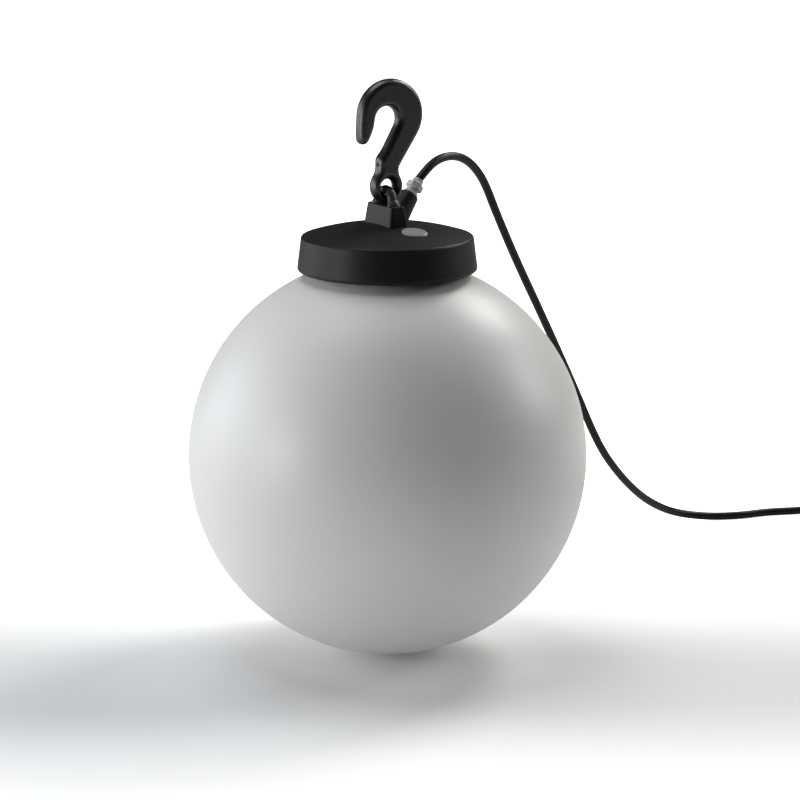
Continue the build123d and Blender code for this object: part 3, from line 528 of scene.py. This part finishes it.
@dataclass
class FreeCord:
    """The cord from the gland to the coil, the coil, and the tail to the plug."""

    diameter: float = 6.6
    coil_centre: tuple[float, float] = (429.4, 357.4)
    inner: float = 26.0
    outer: float = 53.2
    pitch: float = 6.8
    low: float = 4.1
    high: float = 10.9
    turn_count: float = 8.25
    climb: float = 0.625
    per_turn: int = 18
    route: list[Point] = field(default_factory=lambda: [
        (23.4, 43.4, 353.3), (29.3, 49.6, 360.0), (36.0, 57.9, 365.3), (44.2, 68.6, 367.4),
        (52.8, 79.8, 366.1), (60.8, 90.8, 361.2), (68.0, 102.0, 352.9), (75.4, 114.0, 339.9),
        (84.2, 129.0, 315.3), (101.6, 157.0, 271.6), (125.6, 191.6, 216.9), (152.3, 230.2, 153.9),
        (174.6, 263.0, 97.5), (192.0, 288.0, 68.0), (209.0, 313.0, 45.2), (226.0, 339.0, 26.8),
        (249.0, 369.0, 10.1), (280.0, 382.0, 3.4), (309.0, 386.0, 3.4), (332.0, 398.0, 3.4),
        (354.0, 402.0, 3.4), (380.0, 408.0, 3.5), (406.0, 411.0, 3.8)])
    tail: list[Point] = field(default_factory=lambda: [
        (482.6, 344.0, 11.0), (478.6, 328.0, 11.6), (467.5, 314.5, 12.5), (462.3, 300.0, 13.0),
        (462.0, 286.0, 13.0)])

    def turns(self) -> list[Point]:
        """The coil's turns: inwards on the lower layer, outwards on the upper one.

        Returns:
            Points from the side where the cord comes in to the side where the tail leaves.
        """
        cx, cy = self.coil_centre
        per_layer = (self.outer - self.inner) / self.pitch
        top_turns = self.turn_count - per_layer - self.climb
        points: list[Point] = []
        total = int(self.turn_count * self.per_turn)
        for i in range(total + 1):
            turn = i / self.per_turn
            angle = math.radians(90.0) - 2 * math.pi * turn
            if turn <= per_layer:
                radius, z = self.outer - self.pitch * turn, self.low
            elif turn <= per_layer + self.climb:
                share = (turn - per_layer) / self.climb
                radius, z = self.inner, self.low + (self.high - self.low) * share
            else:
                rest = (turn - per_layer - self.climb) / top_turns
                radius, z = self.inner + (self.outer - self.inner) * rest, self.high
            points.append((cx + radius * math.cos(angle), cy + radius * math.sin(angle), z))
        LOG.info("coil has %d points", len(points))
        return points

    def build(self) -> bpy.types.Object:
        """Makes the cord as one smooth spline from gland to plug.

        Returns:
            The cord's curve object.
        """
        points = self.route + self.turns() + self.tail
        curve = bpy.data.curves.new("free_cord", "CURVE")
        curve.dimensions = "3D"
        curve.bevel_depth = self.diameter / 2 * MM
        curve.bevel_resolution = 6
        curve.use_fill_caps = True
        curve.resolution_u = 8
        spline = curve.splines.new("NURBS")
        spline.points.add(len(points) - 1)
        for control, point in zip(spline.points, points):
            control.co = (point[0] * MM, point[1] * MM, point[2] * MM, 1.0)
        spline.order_u = 3
        spline.use_endpoint_u = True
        cord = bpy.data.objects.new("free_cord", curve)
        bpy.context.scene.collection.objects.link(cord)
        dress(cord, SHEATH)
        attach(cord, "head")
        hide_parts("mains_cord", "cord_coil", "cord_tail")
        return cord


# ---------------------------------------------------------------- studio

COOL = (0.92, 0.965, 1.0)
WARM = (1.0, 0.985, 0.955)


@dataclass(frozen=True)
class SoftLight:
    """One soft rectangular light, in metres and watts."""

    name: str
    at: Point
    size: tuple[float, float]
    power: float
    colour: tuple[float, float, float]


LIGHTS = (
    SoftLight("left_wall", (-2.3, 0.3, 0.75), (1.9, 1.3), 21.0, COOL),
    SoftLight("left_front", (-1.9, -1.0, 0.45), (0.6, 0.8), 13.0, COOL),
    SoftLight("left_rear", (-2.1, 1.3, 0.5), (0.9, 0.9), 4.0, COOL),
    SoftLight("rear_right", (1.25, 1.45, 1.8), (0.8, 0.8), 25.0, WARM),
    SoftLight("right_low", (2.3, 0.7, 1.2), (1.0, 0.9), 16.0, WARM),
    SoftLight("overhead", (-0.5, 0.4, 2.6), (1.6, 1.6), 25.0, COOL),
)


@dataclass
class Studio:
    """The camera, the pale floor and the soft lights."""

    camera_at: Point = (0.0094, -2.400, 0.723)
    pitch: float = 12.46
    lens: float = 147.1
    # The next five set a squashed ellipse round the object's shadow. Inside it the floor's glow for the camera is
    # weaker, which paints shade on the floor; outside it the glow rises to white.
    painted_shade_middle: Point = (-0.05, -0.09, 0.0)
    painted_shade_squash: Point = (0.2, 1.0, 1.0)
    painted_shade_near: float = 0.055
    painted_shade_edge: float = 0.225
    painted_shade_glow_range: tuple[float, float] = (0.05, 0.36)
    floor_colour: tuple[float, float, float] = (0.8, 0.8, 0.8)
    floor_glow: float = 0.06
    fill: float = 0.02
    lit_point: Point = (0.0, 0.0, 0.2)

    def camera(self) -> None:
        """Sets up the camera at the photograph's angle."""
        data = bpy.data.cameras.new("view_camera")
        data.lens = self.lens
        data.sensor_width = 36.0
        data.clip_end = 60.0
        camera = bpy.data.objects.new("view_camera", data)
        camera.location = self.camera_at
        camera.rotation_euler = (math.radians(90.0 - self.pitch), 0.0, 0.0)
        bpy.context.scene.collection.objects.link(camera)
        bpy.context.scene.camera = camera

    def area(self, light: SoftLight) -> None:
        """Adds one soft light, turned towards the lit point.

        Args:
            light: The light to add.
        """
        data = bpy.data.lights.new(light.name, "AREA")
        data.shape = "RECTANGLE"
        data.size, data.size_y = light.size
        data.energy = light.power
        data.color = light.colour
        lamp = bpy.data.objects.new(light.name, data)
        lamp.location = light.at
        towards = Vector(self.lit_point) - Vector(light.at)
        lamp.rotation_euler = towards.to_track_quat("-Z", "Y").to_euler()
        bpy.context.scene.collection.objects.link(lamp)

    def floor(self) -> None:
        """Adds the white floor, which keeps the light's shadow. For the camera, its glow is weaker in a squashed
        ellipse round that shadow, which paints shade there, and the glow rises to white farther off.
        """
        deselect()
        bpy.ops.mesh.primitive_plane_add(size=30.0, location=(0.0, 8.0, 0.0))
        floor = named("floor")
        material = bpy.data.materials.new("floor_white")
        material.use_nodes = True
        material.node_tree.nodes.clear()
        link = Link(material.node_tree)
        where = link.add("ShaderNodeTexCoord").outputs["Object"]
        shifted = link.add("ShaderNodeVectorMath", {0: where, 1: self.painted_shade_middle}, operation="SUBTRACT")
        squashed = link.add("ShaderNodeVectorMath", {0: shifted.outputs[0], 1: self.painted_shade_squash},
                            operation="MULTIPLY")
        away = link.add("ShaderNodeVectorMath", {0: squashed.outputs[0]}, operation="LENGTH")
        # Glow that is weak near the object's shadow and strong farther off: painted shade round the shadow.
        painted_shade_fade = link.add("ShaderNodeMapRange", {"Value": away.outputs["Value"], "From Min": self.painted_shade_near,
                                               "From Max": self.painted_shade_edge, "To Min": self.painted_shade_glow_range[0],
                                               "To Max": self.painted_shade_glow_range[1]},
                        interpolation_type="SMOOTHSTEP")
        beyond = link.add("ShaderNodeMapRange", {"Value": away.outputs["Value"], "From Min": self.painted_shade_edge,
                                                 "From Max": 3.0 * self.painted_shade_edge, "To Max": 1.0})
        whole = link.add("ShaderNodeMath", {0: painted_shade_fade.outputs[0], 1: beyond.outputs[0]}, operation="ADD")
        matt = link.add("ShaderNodeBsdfDiffuse", {"Color": (*self.floor_colour, 1.0)})
        bounce = link.add("ShaderNodeEmission", {"Color": (1.0, 1.0, 1.0, 1.0), "Strength": self.floor_glow})
        unseen = link.add("ShaderNodeAddShader", {0: matt.outputs[0], 1: bounce.outputs[0]})
        paper = link.add("ShaderNodeBsdfDiffuse", {"Color": (0.9, 0.9, 0.9, 1.0)})
        glow = link.add("ShaderNodeEmission", {"Color": (1.0, 1.0, 1.0, 1.0), "Strength": whole.outputs[0]})
        seen = link.add("ShaderNodeAddShader", {0: paper.outputs[0], 1: glow.outputs[0]})
        rays = link.add("ShaderNodeLightPath")
        mix = link.add("ShaderNodeMixShader", {0: rays.outputs["Is Camera Ray"], 1: unseen.outputs[0],
                                               2: seen.outputs[0]})
        link.add("ShaderNodeOutputMaterial", {"Surface": mix.outputs[0]})
        floor.data.materials.append(material)
        settle(floor)

    def world(self) -> None:
        """Makes the surroundings an even white."""
        world = bpy.data.worlds.new("studio")
        bpy.context.scene.world = world
        world.use_nodes = True
        world.node_tree.nodes.clear()
        link = Link(world.node_tree)
        rays = link.add("ShaderNodeLightPath")
        seen = link.add("ShaderNodeBackground", {"Color": (1, 1, 1, 1), "Strength": 1.0})
        fill = link.add("ShaderNodeBackground", {"Color": (0.93, 0.96, 1.0, 1), "Strength": self.fill})
        mix = link.add("ShaderNodeMixShader", {0: rays.outputs["Is Camera Ray"], 1: fill.outputs[0],
                                               2: seen.outputs[0]})
        link.add("ShaderNodeOutputWorld", {"Surface": mix.outputs[0]})

    def build(self) -> None:
        """Sets up everything that isn't the object."""
        bpy.context.scene.view_settings.view_transform = "Standard"
        self.camera()
        self.floor()
        self.world()
        for light in LIGHTS:
            self.area(light)


# ---------------------------------------------------------------- the light

@dataclass(frozen=True)
class ForgedHook:
    """The eye hook, forged with an oval section, in its own plane (u, z)."""

    eye: tuple[float, float] = (-1.2, 355.2)
    eye_radius: float = 13.0
    hole: tuple[float, float] = (-1.2, 354.7)
    hole_radius: float = 5.9
    back: tuple[float, float] = (1.9, 407.6)
    back_radius: float = 27.35
    bowl: tuple[float, float] = (-2.2, 404.9)
    bowl_radius: float = 9.9
    half: float = 5.9
    crown: float = 4.0
    hole_round: float = 5.0
    voxel: float = 0.42
    smoothing: int = 12
    drill_radius: float = 1.1
    drill_depth: float = 5.0
    drill_at: Point = (-8.2, -1.2, 371.8)

    def outline(self) -> Profile:
        """The hook's outline: tip, back, shank, eye, lug and bowl.

        Returns:
            Its points, clockwise from the outside of the tip.
        """
        points: Profile = [(-26.0, 392.4), (-26.0, 400.0)]
        points += arc(*self.back, self.back_radius, 180.0, -37.0, 60)
        points += [(8.6, 369.0), (8.5, 366.4)]
        points += arc(*self.eye, self.eye_radius, 38.0, -222.0, 60)
        points += [(-9.9, 366.0), (-9.2, 369.0), (-9.2, 375.2), (-8.6, 377.0), (-3.6, 383.0)]
        points += arc(*self.bowl, self.bowl_radius, -34.0, 180.0, 36)
        points += [(-13.1, 399.6), (-14.5, 396.2), (-16.3, 392.2),
                   (-18.0, 389.4), (-19.8, 387.8), (-22.0, 387.4), (-24.2, 388.0), (-25.5, 389.8)]
        return softened(points, 0.9, 3)

    def waist(self) -> bpy.types.Object:
        """Makes the waisted tool that opens the eye and rounds both its mouths.

        Returns:
            The tool, in the hook's own plane.
        """
        wide = self.hole_radius + self.hole_round
        side = [(wide - self.hole_round * math.cos(a), self.half * math.sin(a))
                for a in [math.radians(-90 + 10 * i) for i in range(19)]]
        rim, past = wide + 1.5, self.half + 0.8
        profile = [(0.0, -2 * self.half), (rim, -2 * self.half), (rim, -past), *side,
                   (rim, past), (rim, 2 * self.half), (0.0, 2 * self.half)]
        tool = turned("eye_tool", profile, steps=72)
        return place(tool, Matrix.Translation(Vector((*self.hole, 0.0)) * MM))

    def build(self) -> bpy.types.Object:
        """Makes the hook in place.

        Returns:
            The hook.
        """
        hook = forged("forged_hook", self.outline(), self.half, self.crown)
        cut(hook, self.waist())
        modify(hook, "REMESH", mode="VOXEL", voxel_size=self.voxel * MM)
        modify(hook, "SMOOTH", factor=0.5, iterations=self.smoothing)
        z_axis = U_AXIS.cross(UP)
        place(hook, Matrix((U_AXIS, UP, z_axis)).transposed().to_4x4())
        self.drill(hook)
        smooth(hook, 60.0)
        dress(hook, HOOK_BLACK)
        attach(hook, "hook_arm")
        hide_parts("hook")
        return hook

    def drill(self, hook: bpy.types.Object) -> None:
        """Drills the small blind hole in the lug.

        Args:
            hook: The hook, in place.
        """
        bpy.ops.mesh.primitive_cylinder_add(radius=self.drill_radius * MM, depth=self.drill_depth * MM,
                                            vertices=24)
        tool = named("drill")
        along, across, height = self.drill_at
        at = U_AXIS * along + B_AXIS * across + UP * height
        place(tool, frame_of(at, U_AXIS, UP))
        cut(hook, tool)


@dataclass(frozen=True)
class SteelBow:
    """The bow over the block: a bent bar of oval section that widens to its feet, with two studs."""

    middle: float = -1.2
    foot: float = 341.8
    bend_height: float = 343.4
    bend_radius: float = 9.55
    bar: float = 3.05
    foot_growth: float = 1.42
    foot_spread: float = 10.8
    widening: float = 1.28
    stud_radius: float = 3.0
    stud_low: float = 316.4
    stud_spread: float = 10.0

    def bar_piece(self) -> bpy.types.Object:
        """Makes the bent bar in its own plane, local X along the bow and local Y up.

        Returns:
            The bar.
        """
        curve = bpy.data.curves.new("steel_bow", "CURVE")
        curve.dimensions = "3D"
        curve.bevel_depth = self.bar * MM
        curve.bevel_resolution = 8
        curve.use_fill_caps = True
        curve.resolution_u = 6
        path = [(self.foot_spread, self.foot - 0.6, self.foot_growth),
                (self.foot_spread - 0.3, self.foot + 1.4, 1.28)]
        bend = [(self.bend_radius * math.cos(a), self.bend_height + self.bend_radius * math.sin(a), 1.0)
                for a in [math.pi * i / 16 for i in range(17)]]
        points = path + bend + [(-x, z, growth) for x, z, growth in reversed(path)]
        spline = curve.splines.new("NURBS")
        spline.points.add(len(points) - 1)
        for control, (x, z, growth) in zip(spline.points, points):
            control.co = (x * MM, z * MM, 0.0, 1.0)
            control.radius = growth
        spline.order_u = 3
        spline.use_endpoint_u = True
        bow = bpy.data.objects.new("steel_bow", curve)
        bpy.context.scene.collection.objects.link(bow)
        activate(bow)
        bpy.ops.object.convert(target="MESH")
        bow = bpy.context.object
        bow.scale = (1.0, 1.0, self.widening)
        return settle(bow)

    def build(self) -> bpy.types.Object:
        """Makes the bow in place.

        Returns:
            The bow.
        """
        bow = self.bar_piece()
        place(bow, Matrix.Translation(U_AXIS * self.middle * MM)
              @ Matrix((B_AXIS, UP, U_AXIS)).transposed().to_4x4())
        studs = []
        for side in (-1, 1):
            at = U_AXIS * self.middle + B_AXIS * (side * self.stud_spread)
            profile = [(0.0, self.stud_low), (self.stud_radius - 0.5, self.stud_low),
                       (self.stud_radius, self.stud_low + 0.5), (self.stud_radius, self.foot + 1.0),
                       (0.0, self.foot + 1.0)]
            stud = turned(f"bow_stud_{side}", profile, steps=40)
            studs.append(place(stud, Matrix.Translation(at * MM)))
        bow = joined([bow, *studs])
        tidy_mesh(bow)
        smooth(bow, 50.0)
        dress(bow, BOW_STEEL)
        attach(bow, "head")
        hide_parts("lifting_bow")
        return bow


@dataclass(frozen=True)
class OpalGlobe:
    """The blown globe with its neck, bayonet lugs and standing ring."""

    centre: float = 150.3
    radius: float = 150.0
    wall: float = 3.0
    neck: float = 45.0
    neck_top: float = 310.0
    foot: tuple[float, float] = (20.0, 23.5)

    def shell(self) -> Profile:
        """The outline of the wall, from the bottom's outside to the bottom's inside.

        Returns:
            Points of (radius, height).
        """
        inside = self.radius - self.wall
        low = [(0.0, 0.3), (10.0, 0.65), (self.foot[0], 1.65), (self.foot[0] + 0.3, 0.2), (self.foot[0] + 0.9, 0.0),
               (self.foot[1] - 0.9, 0.0), (self.foot[1] - 0.2, 0.4), (self.foot[1], 1.9)]
        start = -math.degrees(math.acos((self.foot[1] + 0.8) / self.radius))
        top = math.degrees(math.acos(self.neck / self.radius))
        low += arc(0.0, self.centre, self.radius, start, top - 0.6, 84)
        low += [(self.neck, 294.4), (self.neck, self.neck_top - 0.6), (self.neck - 0.6, self.neck_top),
                (self.neck - self.wall + 0.6, self.neck_top), (self.neck - self.wall, self.neck_top - 0.6)]
        top = math.degrees(math.acos((self.neck - self.wall) / inside))
        return low + arc(0.0, self.centre, inside, top, -90.0, 60)

    def build(self) -> bpy.types.Object:
        """Makes the globe in place.

        Returns:
            The globe.
        """
        globe = turned("opal_globe", self.shell(), steps=180)
        lugs = []
        for index in range(3):
            lug = turned(f"lug_{index}", [(44.0, 299.3), (48.0, 299.3), (48.0, 303.3), (44.0, 303.3)], steps=10,
                         closed=True, degrees=28.0)
            lugs.append(place(lug, Matrix.Rotation(math.radians(120.0 * index - 14.0), 4, "Z")))
        globe = joined([globe, *lugs])
        smooth(globe, 40.0)
        dress(globe, OPAL)
        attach(globe, "globe")
        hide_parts("globe_diffuser")
        return globe


def dress_nodes() -> None:
    """Gives every CAD node its finish."""
    for name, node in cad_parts.items():
        dress(node, NODE_FINISH[name])
        smooth(node, 30.0)
        LOG.info("dressed %s", name)


def main() -> None:
    """Builds the scene."""
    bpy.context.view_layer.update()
    studio = Studio()
    studio.build()
    dress_nodes()
    for maker in (OpalGlobe(), SteelBow(), ForgedHook(), FreeCord()):
        LOG.info("built %s", maker.build().name)


if __name__ == "__main__":
    main()
